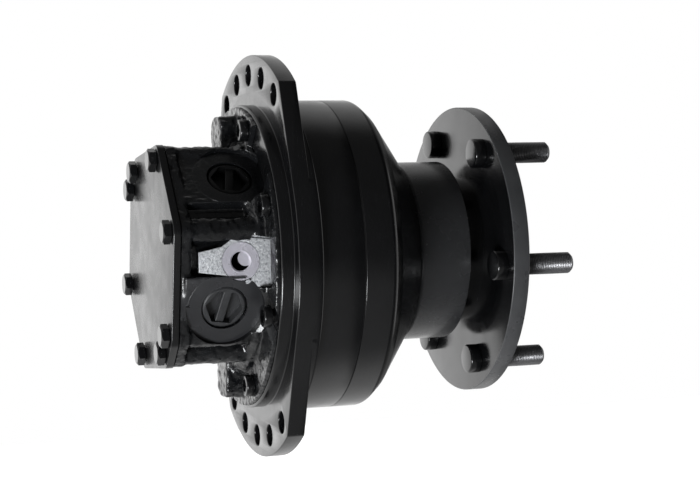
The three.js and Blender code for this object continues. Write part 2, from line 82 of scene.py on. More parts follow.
COVER_BOLTS = [f"cover_bolt_{i}" for i in range(1, 9)]
HOUSING_BOLTS = [f"housing_bolt_{i}" for i in range(1, 9)]
WHEEL_STUDS = [f"wheel_stud_{i}" for i in range(1, 7)]

EAR = {"thickness": 14.5, "spread": 33.7, "corner_r": 5.0, "blend": 4.0}
EAR_HOLES = {"circle": 153.3, "r": 9.0, "pitch": 15.2, "count": 5}
# The ears' sheet stays this far inside the round centre, so that the two rims don't coincide.
RIM_GAP = 0.4
PLATE_BORES = {"ears": 66.0, "round": 60.5}
PILOT_R = 128.0
RECESS = {"r": 103.0, "x": -7.0}
CAM = {"mean_r": 98.4, "lift": 5.0, "lobes": 6, "phase": 7.5, "points": 192}
DRUM = {"end": 83.0, "bore_r": 104.0, "bore_end": 68.0}
SHOULDER = {"x": 90.6, "r": 125.0}
# Its last entry is where the neck's lighter enamel, painted light, starts.
NECK = {"start": 125.0, "r": 77.5, "lit_start": 124.0}
# The bore of the neck, from the shaft seal's seat inwards.
SEAL_SEAT = {"start": 128.0, "r": 68.2}
WAIST = {"start": 104.0, "r": 60.0}
CUP_SEAT = {"start": 82.0, "r": 66.2, "mouth_r": 74.0}
HOUSING_BOLT = {"head": 6.5, "head_r": 9.0, "shank_r": 6.0, "socket": 10.0, "socket_depth": 4.0}
COVER_BOLT = {"flats": 17.0, "head": 7.0, "shank_r": 5.0}
STUD = {"r": 9.0, "blank_r": 8.8, "pitch": 1.5, "thread": 0.75}
WHEEL_FLANGE = {"back": 187.0, "front": 201.0, "pilot_r": 80.0, "hub_r": 63.0}
BOSS_CIRCLE = 89.0
BOSS_R = 10.5
COVER_ANGLES = [16, 67, 124, 139, 196, 247, 304, 319]
FOOT_R = 101.0
FOOT_CONE = {"start": -26.0, "r": 92.0, "end": -20.0}
BOSS_END = -15.0
WEB_END = -22.0
# A radius that is clear of the whole casting.
OUTSIDE_R = 160.0
CORE_R = 77.0
# A slim rib beside one boss, just inside the boss circle.
FILLER = {"inset": 7.5, "angle": 25.5, "r": 5.5}
# The stepped bore, from the end cover towards the foot.
CHAMBER = {"end": -62.0, "r": 58.0}
WALL_BORE = {"end": -44.0, "r": 30.0}
SEAT_BORE = {"end": -24.4, "r": 44.4}
FOOT_BORE_R = 52.4
CAST_SKIN = {"voxel": 1.1, "passes": 7, "grain": 6.0, "height": 0.75}
# Where the skin is finer: between the foot and the end cover, and inside this radius.
FINE_SKIN = {"x": -27.0, "r": 93.0, "part": 0.45}
FLANGE = {"r": 125.5, "start": -14.3, "seat": -11.1}
PORT_FACE_R = 91.0
PORT_DISC_R = 30.5
PORT_BLOCK = {"start": -79.0, "end": -12.0, "half_width": 27.0}
PORT_BORES = {"seat_r": 18.8, "seat_depth": 4.5, "thread_r": 16.3, "bottom": 62.0}
PORT_CLEARANCE = {"straight": 97.6, "wide": 99.8, "spread": 3.8}
# How far along the shaft the lower port's lighter enamel, painted light, reaches from the port's centre.
LIT_PORT_END = 33.0
PORTS = {"a": {"x": -46.0, "angle": -24.0}, "b": {"x": -34.0, "angle": 46.5}}
PLUG = {"top": 90.2, "bottom": 73.0, "r": 18.0, "shank_r": 16.0}
PLUG_RECESS = {"flats": 27.0, "depth": 8.0, "corner_r": 1.2, "tilt": -8.0}
PLUG_WEB = {"half_width": 3.4, "below_top": 1.6, "tilt": 78.0}
DRAIN = {"x": -34.0, "face_r": 92.0, "spot_r": 15.7, "hole_r": 7.5, "depth": 15.0, "boss_r": 19.0}
PAD_R = 92.5
PAD_ROOT = 62.0
# Corners of the bare pad around the drain port, as [distance below the port's centre line, x].
PAD = [(-8, -68), (-12, -49), (-20, -38), (-17, -9), (21, -9), (21, -19), (11, -46), (8, -68)]
LUG = {"start": -29.5, "end": -11.5, "top": 118.5, "half_width": 17.0, "corner": 6.0}


# ---------------------------------------------------------------- geometry helpers


def polar(r, angle):
    a = math.radians(angle)
    return -r * math.cos(a), r * math.sin(a)


def radial_matrix(x, angle):
    """Turns a piece made along +X so that it points outwards at an angle around the shaft."""
    a = math.radians(angle)
    out = Vector((0, -math.cos(a), math.sin(a)))
    along = Vector((1, 0, 0))
    side = along.cross(out)
    place = Matrix((out, side, along)).transposed().to_4x4()
    place.translation = Vector((x, 0, 0)) * MM
    return place


def new_object(name, verts, faces):
    mesh = bpy.data.meshes.new(name)
    mesh.from_pydata([Vector(v) * MM for v in verts], [], faces)
    mesh.validate()
    mesh.update()
    obj = bpy.data.objects.new(name, mesh)
    bpy.context.scene.collection.objects.link(obj)
    clean(obj)
    return obj


def clean(obj, distance=0.00001):
    """Merges doubled points and turns the faces outwards."""
    bm = bmesh.new()
    bm.from_mesh(obj.data)
    bmesh.ops.remove_doubles(bm, verts=bm.verts, dist=distance)
    bmesh.ops.dissolve_degenerate(bm, edges=bm.edges, dist=distance / 10)
    bmesh.ops.recalc_face_normals(bm, faces=bm.faces)
    bm.to_mesh(obj.data)
    bm.free()
    return obj


def rounded(points, steps=5):
    """A polyline from (x, y, fillet radius) points, with each filleted corner as an arc."""
    line = []
    last = len(points) - 1
    for i, (x, y, radius) in enumerate(points):
        corner = Vector((x, y))
        if radius <= 0 or i in (0, last):
            line.append((x, y))
            continue
        back = (Vector(points[i - 1][:2]) - corner).normalized()
        ahead = (Vector(points[i + 1][:2]) - corner).normalized()
        angle = back.angle(ahead)
        reach = radius / math.tan(angle / 2)
        start = corner + back * reach
        end = corner + ahead * reach
        centre = corner + (back + ahead).normalized() * radius / math.sin(angle / 2)
        first = math.atan2(*reversed(start - centre))
        turn = math.atan2(*reversed(end - centre)) - first
        turn -= 2 * math.pi * round(turn / (2 * math.pi))
        for k in range(steps + 1):
            a = first + turn * k / steps
            line.append((centre.x + radius * math.cos(a), centre.y + radius * math.sin(a)))
    return line


def lathe(name, profile, segments=160, steps=5, closed=False):
    """Revolves (x, radius, fillet) points about the shaft axis. A profile that isn't closed starts and ends
    on the axis."""
    line = rounded(profile, steps)
    verts = []
    faces = []
    rings = []
    for x, r in line:
        if r < 1e-6:
            rings.append([len(verts)])
            verts.append((x, 0, 0))
            continue
        rings.append(range(len(verts), len(verts) + segments))
        for j in range(segments):
            a = 2 * math.pi * j / segments
            verts.append((x, r * math.cos(a), r * math.sin(a)))
    pairs = list(zip(rings, rings[1:]))
    if closed:
        pairs.append((rings[-1], rings[0]))
    for one, two in pairs:
        for j in range(segments):
            k = (j + 1) % segments
            if len(one) == 1 and len(two) == 1:
                break
            if len(one) == 1:
                faces.append((one[0], two[j], two[k]))
            elif len(two) == 1:
                faces.append((one[j], two[0], one[k]))
            else:
                faces.append((one[j], two[j], two[k], one[k]))
    return new_object(name, verts, faces)


def sheet_solid(name, outlines, x0, x1, bevel=0.0, bevel_steps=2):
    """A plate between x0 and x1 from YZ outlines, the first outside and the rest holes. Its rims are
    bevelled."""
    curve = bpy.data.curves.new(name, "CURVE")
    curve.dimensions = "2D"
    curve.fill_mode = "BOTH"
    curve.extrude = ((x1 - x0) / 2 - bevel) * MM
    curve.bevel_depth = bevel * MM
    curve.bevel_resolution = bevel_steps
    curve.offset = -bevel * MM
    for points in outlines:
        spline = curve.splines.new("POLY")
        spline.points.add(len(points) - 1)
        for spot, (y, z) in zip(spline.points, points):
            spot.co = (y * MM, z * MM, 0, 1)
        spline.use_cyclic_u = True
    holder = bpy.data.objects.new(name, curve)
    bpy.context.scene.collection.objects.link(holder)
    bpy.context.view_layer.update()
    mesh = bpy.data.meshes.new_from_object(holder.evaluated_get(bpy.context.evaluated_depsgraph_get()))
    bpy.data.objects.remove(holder)
    bpy.data.curves.remove(curve)
    mesh.name = name
    turn = Matrix(((0, 0, 1, (x0 + x1) / 2 * MM), (1, 0, 0, 0), (0, 1, 0, 0), (0, 0, 0, 1)))
    mesh.transform(turn)
    obj = bpy.data.objects.new(name, mesh)
    bpy.context.scene.collection.objects.link(obj)
    return clean(obj)


def circle(r, centre=(0, 0), points=48, phase=0.0):
    y, z = centre
    turns = [2 * math.pi * (i + phase) / points for i in range(points)]
    return [(y + r * math.cos(a), z + r * math.sin(a)) for a in turns]


def hexagon(across_flats, phase=0.0):
    return circle(across_flats / 2 / math.cos(math.pi / 6), points=6, phase=phase)


def rounded_hexagon(across_flats, corner_r):
    corners = hexagon(across_flats, 0.5)
    sides = zip(corners, corners[1:] + corners[:1])
    middle = [((ax + bx) / 2, (ay + by) / 2) for (ax, ay), (bx, by) in sides]
    points = []
    for i, corner in enumerate(corners):
        points += rounded([(*middle[i - 1], 0), (*corner, corner_r), (*middle[i], 0)], 3)[1:-1]
    return points


def rectangle(x0, x1, y0, y1):
    return [(x0, y0), (x1, y0), (x1, y1), (x0, y1)]


def moved(obj, x=0.0, y=0.0, z=0.0):
    obj.data.transform(Matrix.Translation(Vector((x, y, z)) * MM))
    return obj


def turned(obj, matrix):
    obj.data.transform(matrix)
    return obj


def evaluated(obj):
    """Replaces an object's mesh with the one that its modifiers make."""
    bpy.context.view_layer.update()
    result = bpy.data.meshes.new_from_object(obj.evaluated_get(bpy.context.evaluated_depsgraph_get()))
    old = obj.data
    obj.modifiers.clear()
    obj.data = result
    result.name = obj.name
    bpy.data.meshes.remove(old)
    return obj


def combined(obj, others, operation):
    """Joins, cuts or intersects an object with the union of others, which are used up."""
    tool = others[0]
    for other in others[1:]:
        boolean(tool, other, "UNION")
    boolean(obj, tool, operation)
    return clean(obj, 0.000002)


def boolean(obj, other, operation):
    step = obj.modifiers.new(operation, "BOOLEAN")
    step.operation = operation
    step.solver = "MANIFOLD"
    step.object = other
    evaluated(obj)
    bpy.data.objects.remove(other)


def joined(name, pieces):
    """Puts several meshes in one object without joining their surfaces."""
    bm = bmesh.new()
    for piece in pieces:
        bm.from_mesh(piece.data)
        bpy.data.objects.remove(piece)
    mesh = bpy.data.meshes.new(name)
    bm.to_mesh(mesh)
    bm.free()
    obj = bpy.data.objects.new(name, mesh)
    bpy.context.scene.collection.objects.link(obj)
    return obj


def melted(obj, voxel, passes):
    """Fuses overlapping solids into one skin, with the soft edges and fillets of a casting."""
    skin = obj.modifiers.new("skin", "REMESH")
    skin.mode = "VOXEL"
    skin.voxel_size = voxel * MM
    skin.adaptivity = 0.0
    soften = obj.modifiers.new("soften", "SMOOTH")
    soften.factor = 0.5
    soften.iterations = passes
    return evaluated(obj)


def shaded(obj, angle=35.0):
    """Smooth shading, with edges sharper than the angle kept crisp."""
    limit = math.radians(angle)
    bm = bmesh.new()
    bm.from_mesh(obj.data)
    for face in bm.faces:
        face.smooth = True
    for edge in bm.edges:
        edge.smooth = len(edge.link_faces) == 2 and edge.calc_face_angle(0.0) < limit
    bm.to_mesh(obj.data)
    bm.free()
    return obj


def piece(obj, body, slot, nodes, *materials, angle=35.0):
    """Gives a finished mesh its materials, its body and the CAD nodes it stands for."""
    obj.data.materials.clear()
    for material in materials:
        obj.data.materials.append(material)
    shaded(obj, angle)
    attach(obj, body)
    if nodes:
        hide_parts(*nodes)
    return obj


# ---------------------------------------------------------------- materials


class Tree:
    """A node tree, with short calls for the nodes that the finishes and the sky share."""

    def __init__(self, tree):
        self.tree = tree

    def link(self, source, target):
        self.tree.links.new(source, target)

    def feed(self, socket, value):
        """Gives a socket a number, or links another node's output to it."""
        if isinstance(value, (int, float)):
            socket.default_value = value
        else:
            self.link(value, socket)

    def spread(self, source, low, high, to_low=0.0, to_high=1.0, smooth=False):
        node = self.tree.nodes.new("ShaderNodeMapRange")
        if smooth:
            node.interpolation_type = "SMOOTHSTEP"
        limits = (("From Min", low), ("From Max", high), ("To Min", to_low), ("To Max", to_high))
        for socket, value in limits:
            node.inputs[socket].default_value = value
        self.link(source, node.inputs["Value"])
        return node.outputs["Result"]

    def maths(self, operation, one, two):
        node = self.tree.nodes.new("ShaderNodeMath")
        node.operation = operation
        self.feed(node.inputs[0], one)
        self.feed(node.inputs[1], two)
        return node.outputs["Value"]


class Nodes(Tree):
    """A material's node tree."""

    def __init__(self, name):
        self.material = bpy.data.materials.new(name)
        self.material.use_nodes = True
        super().__init__(self.material.node_tree)
        self.shader = self.tree.nodes["Principled BSDF"]
        self.place = self.tree.nodes.new("ShaderNodeTexCoord").outputs["Object"]

    def set(self, **values):
        for name, value in values.items():
            self.shader.inputs[name.replace("_", " ")].default_value = value
        return self

    def noise(self, scale, detail=2.0, roughness=0.5, stretch=None):
        node = self.tree.nodes.new("ShaderNodeTexNoise")
        node.inputs["Scale"].default_value = scale
        node.inputs["Detail"].default_value = detail
        node.inputs["Roughness"].default_value = roughness
        source = self.place
        if stretch:
            mapping = self.tree.nodes.new("ShaderNodeMapping")
            mapping.inputs["Scale"].default_value = stretch
            self.link(source, mapping.inputs["Vector"])
            source = mapping.outputs["Vector"]
        self.link(source, node.inputs["Vector"])
        return node.outputs["Fac"]

    def cells(self, scale):
        node = self.tree.nodes.new("ShaderNodeTexVoronoi")
        node.inputs["Scale"].default_value = scale
        self.link(self.place, node.inputs["Vector"])
        return node.outputs["Distance"]

    def colours(self, source, stops):
        node = self.tree.nodes.new("ShaderNodeValToRGB")
        ramp = node.color_ramp
        while len(ramp.elements) < len(stops):
            ramp.elements.new(0.5)
        for element, (spot, colour) in zip(ramp.elements, stops):
            element.position = spot
            element.color = (*colour, 1)
        self.link(source, node.inputs["Fac"])
        return node.outputs["Color"]

    def edges(self, low=0.505, high=0.56):
        """1 on outer edges, 0 elsewhere."""
        geometry = self.tree.nodes.new("ShaderNodeNewGeometry")
        return self.spread(geometry.outputs["Pointiness"], low, high)

    def bump(self, height, strength, distance):
        node = self.tree.nodes.new("ShaderNodeBump")
        node.inputs["Strength"].default_value = strength
        node.inputs["Distance"].default_value = distance
        self.link(height, node.inputs["Height"])
        if self.shader.inputs["Normal"].is_linked:
            self.link(self.shader.inputs["Normal"].links[0].from_socket, node.inputs["Normal"])
        self.link(node.outputs["Normal"], self.shader.inputs["Normal"])

    def base(self, colour):
        self.link(colour, self.shader.inputs["Base Color"])

    def rough(self, value):
        self.link(value, self.shader.inputs["Roughness"])


def enamel(name, dark=(0.0024, 0.0025, 0.0028), light=(0.0048, 0.0049, 0.0054), rough=(0.13, 0.24)):
    """Glossy black enamel: faint cloudiness, orange peel and thin paint on edges."""
    n = Nodes(name)
    n.set(Specular_IOR_Level=0.5)
    cloud = n.noise(18, 4, 0.6)
    worn = n.maths("MULTIPLY", n.edges(0.53, 0.62), n.spread(n.noise(90, 3), 0.62, 0.85))
    mixed = n.tree.nodes.new("ShaderNodeMix")
    mixed.data_type = "RGBA"
    n.link(worn, mixed.inputs["Factor"])
    n.link(n.colours(cloud, [(0.3, dark), (0.7, light)]), mixed.inputs["A"])
    mixed.inputs["B"].default_value = (0.05, 0.051, 0.054, 1)
    n.base(mixed.outputs["Result"])
    n.rough(n.spread(n.noise(60, 3), 0.3, 0.7, *rough))
    n.bump(n.noise(420, 2), 0.06, 0.0003)
    n.bump(n.noise(45, 2), 0.06, 0.001)
    return n.material


def cast_enamel(name):
    """The same enamel over a sand casting, with its pebbled skin and pits."""
    n = Nodes(name)
    n.set(Specular_IOR_Level=0.5)
    dark = (0.003, 0.0032, 0.0036)
    light = (0.008, 0.0085, 0.0096)
    n.base(n.colours(n.noise(30, 4, 0.6), [(0.3, dark), (0.75, light)]))
    n.rough(n.spread(n.noise(70, 3), 0.3, 0.7, 0.14, 0.3))
    n.bump(n.noise(750, 3, 0.6), 0.25, 0.0005)
    n.bump(n.noise(170, 3, 0.55), 0.3, 0.001)
    return n.material


def bare_casting():
    """Clean unpainted casting: bright, sparkling sand-cast grain."""
    n = Nodes("bare_casting")
    n.set(Metallic=0.15)
    grain = n.noise(520, 4, 0.65)
    stops = [(0.32, (0.2, 0.21, 0.225)), (0.47, (0.47, 0.48, 0.5)), (0.68, (0.66, 0.67, 0.68))]
    n.base(n.colours(grain, stops))
    n.rough(n.spread(n.noise(300, 3), 0.3, 0.7, 0.3, 0.55))
    n.bump(grain, 0.7, 0.0012)
    n.bump(n.cells(260), 0.25, 0.0008)
    return n.material


def turned_face(name, colour, rings, centre):
    """A machined face with the fine circles of the cutter around its centre."""
    n = Nodes(name)
    n.set(Metallic=0.3)
    shift = n.tree.nodes.new("ShaderNodeVectorMath")
    shift.operation = "DISTANCE"
    shift.inputs[1].default_value = centre
    n.link(n.place, shift.inputs[0])
    wave = n.maths("SINE", n.maths("MULTIPLY", shift.outputs["Value"], rings * 2 * math.pi), 0)
    lighter = tuple(min(1, c * 1.15) for c in colour)
    n.base(n.colours(n.noise(120, 3), [(0.35, colour), (0.65, lighter)]))
    n.rough(n.spread(n.noise(200, 2), 0.3, 0.7, 0.26, 0.4))
    n.bump(wave, 0.12, 0.0002)
    return n.material


def steel(name, dark, light, rough, metallic=1.0, grain=300.0):
    """Bare steel, from ground bearing steel to a hardened dark skin."""
    n = Nodes(name)
    n.set(Metallic=metallic)
    n.base(n.colours(n.noise(35, 4, 0.6), [(0.3, dark), (0.7, light)]))
    n.rough(n.spread(n.noise(grain, 3, 0.6, stretch=(0.15, 1, 1)), 0.3, 0.7, *rough))
    n.bump(n.noise(grain * 4, 2, stretch=(0.08, 1, 1)), 0.08, 0.0002)
    return n.material


def plug_plastic(name, dark, light, shine=0.5):
    n = Nodes(name)
    n.set(Specular_IOR_Level=shine)
    n.base(n.colours(n.noise(50, 3), [(0.3, dark), (0.7, light)]))
    n.rough(n.spread(n.noise(220, 3), 0.3, 0.7, 0.34, 0.5))
    n.bump(n.noise(900, 2), 0.15, 0.0003)
    return n.material


def rubber():
    n = Nodes("seal_rubber")
    n.set(Specular_IOR_Level=0.35)
    n.base(n.colours(n.noise(60, 3), [(0.3, (0.008, 0.008, 0.008)), (0.7, (0.02, 0.02, 0.021))]))
    n.rough(n.spread(n.noise(150, 3), 0.3, 0.7, 0.55, 0.8))
    n.bump(n.noise(800, 2), 0.2, 0.0003)
    return n.material


BLACK = enamel("black_enamel")
CAST = cast_enamel("cast_black_enamel")
PLATE_PAINT = enamel("cover_enamel", (0.003, 0.0031, 0.0034), (0.006, 0.0062, 0.0067), (0.24, 0.32))
# Painted light: a lighter copy of the enamel, used on the lower port's face only.
LIT_PORT_ENAMEL = enamel("lit_port_face_enamel", (0.017, 0.0173, 0.0188), (0.03, 0.0305, 0.033), (0.24, 0.4))
# Painted light: a lighter copy of the enamel for the front housing's neck.
LIT_NECK_ENAMEL = enamel("lit_neck_enamel", (0.022, 0.0224, 0.0235), (0.031, 0.0316, 0.0332), (0.2, 0.3))
# Painted light: a lighter copy of the enamel for the wheel flange's rim.
LIT_RIM_ENAMEL = enamel("lit_flange_rim_enamel", (0.04, 0.041, 0.043), (0.065, 0.066, 0.069), (0.25, 0.4))
BOLT = enamel("bolt_enamel", (0.003, 0.0031, 0.0035), (0.006, 0.0062, 0.0068), (0.13, 0.22))
STUD_STEEL = steel("stud_steel", (0.1, 0.1, 0.103), (0.19, 0.19, 0.195), (0.28, 0.42), 0.8)
BARE = bare_casting()
SPOTFACE_CENTRE = (DRAIN["x"] * MM, -DRAIN["face_r"] * MM, 0)
SPOTFACE = turned_face("drain_spotface", (0.52, 0.505, 0.56), 700.0, SPOTFACE_CENTRE)
# Painted light and shade: two copies of one plug plastic, lighter for the lower plug and darker for the
# upper plug.
LIT_AND_SHADED_PLUGS = {
    "a": plug_plastic("lit_plug_plastic", (0.02, 0.0204, 0.022), (0.034, 0.035, 0.037)),
    "b": plug_plastic("plug_plastic", (0.0016, 0.0016, 0.0018), (0.0034, 0.0035, 0.0037), 0.25),
}
REAR_PAINTS = [CAST, BARE, SPOTFACE, LIT_PORT_ENAMEL]
RUBBER = rubber()
GROUND = steel("ground_steel", (0.5, 0.51, 0.52), (0.68, 0.69, 0.7), (0.16, 0.3))
DARK = steel("dark_steel", (0.2, 0.2, 0.21), (0.34, 0.35, 0.36), (0.3, 0.46))
IRON = steel("cast_iron", (0.14, 0.14, 0.145), (0.24, 0.24, 0.25), (0.42, 0.6), 0.8, 180.0)


# ---------------------------------------------------------------- chassis side


def plate_outline():
    """Two ear arcs with rounded corners, joined by straight sides that are tangent to the round centre."""
    ear_r = PLATE_HIGH.z
    round_r = PLATE_HIGH.y - RIM_GAP
    spread = EAR["spread"]
    blend = EAR["blend"]
    tangent = 90 - spread - math.degrees(math.acos(round_r / ear_r))
    points = []
    for middle in (90, 270):
        corners = []
        for side in (-1, 1):
            corner = polar(ear_r, middle + side * spread)
            on_arc = polar(ear_r, middle + side * (spread - blend))
            foot = polar(round_r, middle + side * (90 - tangent))
            corners.append(rounded([(*on_arc, 0), (*corner, EAR["corner_r"]), (*foot, 0)], 6)[1:-1])
        points += corners[0][::-1]
        first = middle - spread + blend
        points += [polar(ear_r, first + (2 * spread - 2 * blend) * k / 40) for k in range(41)]
        points += corners[1]
        first = middle + 90 - tangent
        points += [polar(round_r, first + 2 * tangent * k / 24) for k in range(25)]
    return points


def ear_holes():
    holes = []
    count = EAR_HOLES["count"]
    for middle in (90, -90):
        for k in range(count):
            angle = middle + (k - (count - 1) / 2) * EAR_HOLES["pitch"]
            holes.append(circle(EAR_HOLES["r"], polar(EAR_HOLES["circle"], angle), 40))
    return holes


def mounting_plate():
    bore = circle(PLATE_BORES["ears"], points=96)
    ears = sheet_solid("plate", [plate_outline(), bore, *ear_holes()], 0, EAR["thickness"], 0.9)
    r = PLATE_HIGH.y
    front = PLATE_HIGH.x
    back = PLATE_LOW.x
    disc = lathe(
        "round",
        [
            (RECESS["x"], PLATE_BORES["round"], 0),
            (RECESS["x"], RECESS["r"], 0),
            (back, RECESS["r"], 0.8),
            (back, PILOT_R, 1.8),
            (0, PILOT_R, 0.8),
            (0, r, 1.0),
            (front, r, 2.0),
            (front, PLATE_BORES["round"], 0),
        ],
        192,
        4,
        True,
    )
    combined(ears, [disc], "UNION")
    ears.name = "mounting_plate_casting"
    return piece(ears, HOUSING, "black_paint", ["mounting_plate"], BLACK)


def cam_ring():
    points = CAM["points"]
    outer = circle(CAM_HIGH.y, points=points)
    inner = []
    for k in range(points):
        angle = k * 360 / points
        wave = math.cos(CAM["lobes"] * math.radians(angle + CAM["phase"]))
        inner.append(polar(CAM["mean_r"] + CAM["lift"] * wave, angle))
    ring = sheet_solid("cam_ring_shell", [outer, inner], CAM_LOW.x, CAM_HIGH.x, 0.5)
    return piece(ring, HOUSING, "black_paint", ["cam_ring"], BLACK)


def front_housing():
    start = DRUM_LOW.x
    end = DRUM_HIGH.x
    r = DRUM_HIGH.y
    profile = [
        (start, DRUM["bore_r"], 0),
        (start, r, 0.7),
        (DRUM["end"], r, 7),
        (SHOULDER["x"], SHOULDER["r"], 4),
        (NECK["start"], NECK["r"], 5),
        (end, NECK["r"], 1.5),
        (end, SEAL_SEAT["r"], 0.8),
        (SEAL_SEAT["start"], SEAL_SEAT["r"], 0),
        (SEAL_SEAT["start"], WAIST["r"], 0),
        (WAIST["start"], WAIST["r"], 0),
        (WAIST["start"], CUP_SEAT["r"], 0),
        (CUP_SEAT["start"], CUP_SEAT["r"], 0),
        (CUP_SEAT["start"], CUP_SEAT["mouth_r"], 0),
        (DRUM["bore_end"], DRUM["bore_r"], 0),
    ]
    shell = lathe("front_housing_shell", profile, 192, 6, True)
    piece(shell, HOUSING, "black_paint", ["front_housing"], BLACK, LIT_NECK_ENAMEL)
    # Painted light: the neck takes the lighter copy of the enamel.
    for face in shell.data.polygons:
        face.material_index = int(face.center.x > NECK["lit_start"] * MM)
    return shell


def housing_bolts():
    head_r = HOUSING_BOLT["head_r"]
    shank_r = HOUSING_BOLT["shank_r"]
    for node in HOUSING_BOLTS:
        low, high = box_mm(node)
        middle = (low + high) / 2
        head_end = low.x + HOUSING_BOLT["head"]
        body = lathe(
            node + "_screw",
            [
                (low.x, 0, 0),
                (low.x, head_r, 1.2),
                (head_end, head_r, 0.3),
                (head_end, shank_r, 0),
                (high.x, shank_r, 0.8),
                (high.x, 0, 0),
            ],
            40,
            3,
        )
        floor = low.x + HOUSING_BOLT["socket_depth"]
        socket = sheet_solid("socket", [hexagon(HOUSING_BOLT["socket"])], low.x - 1, floor)
        combined(body, [socket], "DIFFERENCE")
        moved(body, 0, middle.y, middle.z)
        piece(body, HOUSING, "bolt_steel", [node], BOLT)


# ---------------------------------------------------------------- rear casting


def rod(x0, x1, r, points=48, bevel=0.0):
    return sheet_solid("rod", [circle(r, points=points)], x0, x1, bevel)


def belt_outline(circle_r, corner_r, angles, steps=10):
    """The convex outline around equal circles at the given angles."""
    points = []
    count = len(angles)
    for i, angle in enumerate(angles):
        centre = Vector(polar(circle_r, angle))
        before = Vector(polar(circle_r, angles[i - 1]))
        after = Vector(polar(circle_r, angles[(i + 1) % count]))
        ahead = centre - before
        first = math.atan2(ahead.y, ahead.x) + math.pi / 2
        ahead = after - centre
        turn = math.atan2(ahead.y, ahead.x) + math.pi / 2 - first
        turn -= 2 * math.pi * round(turn / (2 * math.pi))
        for k in range(steps + 1):
            a = first + turn * k / steps
            points.append((centre.x + corner_r * math.cos(a), centre.y + corner_r * math.sin(a)))
    return points


def lug(angle):
    w = LUG["half_width"]
    top = LUG["top"]
    cut = LUG["corner"]
    outline = [(-w, 60), (w, 60), (w, top - cut), (w - cut, top), (cut - w, top), (-w, top - cut)]
    solid = sheet_solid("lug", [outline], LUG["start"], LUG["end"], 1.0)
    return turned(solid, Matrix.Rotation(-math.radians(angle - 90), 4, "X"))


def port_matrix(port):
    return radial_matrix(port["x"], port["angle"])


def port_block(port):
    half = PORT_BLOCK["half_width"]
    start = PORT_BLOCK["start"] - port["x"]
    end = PORT_BLOCK["end"] - port["x"]
    block = sheet_solid("block", [rectangle(-half, half, start, end)], 40, PORT_FACE_R - 0.4, 1.0)
    return turned(block, port_matrix(port))


def port_disc(port):
    """The machined face around a port, cut off flat at the sides of its block."""
    half = PORT_BLOCK["half_width"]
    reach = math.degrees(math.asin(half / PORT_DISC_R))
    outline = []
    for middle in (0, 180):
        for k in range(33):
            a = math.radians(middle - reach + 2 * reach * k / 32)
            outline.append((PORT_DISC_R * math.sin(a), PORT_DISC_R * math.cos(a)))
    return turned(sheet_solid("disc", [outline], 45, PORT_FACE_R, 0.3), port_matrix(port))


def port_clearance():
    """The room that the cutter leaves over a port's face, with a broken edge where it meets the foot."""
    r = PORT_DISC_R + 1
    wide_r = r + PORT_CLEARANCE["spread"]
    top = FLANGE["r"] + 6
    profile = [
        (PORT_FACE_R, 0, 0),
        (PORT_FACE_R, r, 0),
        (PORT_CLEARANCE["straight"], r, 0.8),
        (PORT_CLEARANCE["wide"], wide_r, 0.8),
        (top, wide_r, 0),
        (top, 0, 0),
    ]
    return lathe("clearance", profile, 96)


def pebbled(obj, size, height):
    """Moves each point along its normal by smooth noise, for the uneven skin of a sand casting."""
    for vertex, normal in zip(obj.data.vertices, [v.normal.copy() for v in obj.data.vertices]):
        spot = vertex.co / MM
        coarse = spot.x > FINE_SKIN["x"] or math.hypot(spot.y, spot.z) > FINE_SKIN["r"]
        part = 1.0 if coarse else FINE_SKIN["part"]
        lift = noise.noise(spot / size) + 0.5 * noise.noise(spot / size * 2.3 + Vector((7, 3, 1)))
        vertex.co += normal * height * part * lift * MM
    return obj


def inside(point, outline):
    x, y = point
    hit = False
    for (ax, ay), (bx, by) in zip(outline, outline[1:] + outline[:1]):
        if (ay > y) != (by > y) and x < (bx - ax) * (y - ay) / (by - ay) + ax:
            hit = not hit
    return hit


def on_disc(spot, port):
    """How far a point is above a port's face, or infinity when it is outside the port's block."""
    local = port_matrix(port).to_3x3().transposed() @ (spot - Vector((port["x"], 0, 0)))
    if abs(local.y) < PORT_BLOCK["half_width"] and local.z < LIT_PORT_END:
        return local.x - PORT_FACE_R
    return math.inf


def bare_faces(obj):
    """Leaves the drain port's pad and its spotface unpainted, gives the drain hole's deep bore the black
    enamel as painted shade, and gives the lower port's face a lighter copy of the enamel as painted light.
    """
    cast, bare, spotface, lit_port = range(len(REAR_PAINTS))
    hole_r = DRAIN["hole_r"]
    face_r = DRAIN["face_r"]
    below_hole = 70
    for face in obj.data.polygons:
        spot = face.center / MM
        out = -spot.y
        from_port = math.hypot(spot.x - DRAIN["x"], spot.z)
        # Painted shade: the drain hole's bore and floor below its top 2.5 mm take the black enamel.
        if from_port < hole_r + 0.1 and below_hole < out < face_r - 2.5:
            face.material_index = cast
        elif from_port < hole_r + 1.4 and below_hole < out < face_r - 0.05:
            face.material_index = spotface
        elif from_port < DRAIN["spot_r"] + 0.02 and abs(out - face_r) < 0.05:
            face.material_index = spotface
        elif PAD_R - 2.0 < out < PAD_R + 0.1 and inside((-spot.z, spot.x), PAD):
            face.material_index = bare
        # Painted light: the lower port's face takes the lighter copy of the enamel.
        elif abs(on_disc(spot, PORTS["a"])) < 2:
            face.material_index = lit_port
    return obj


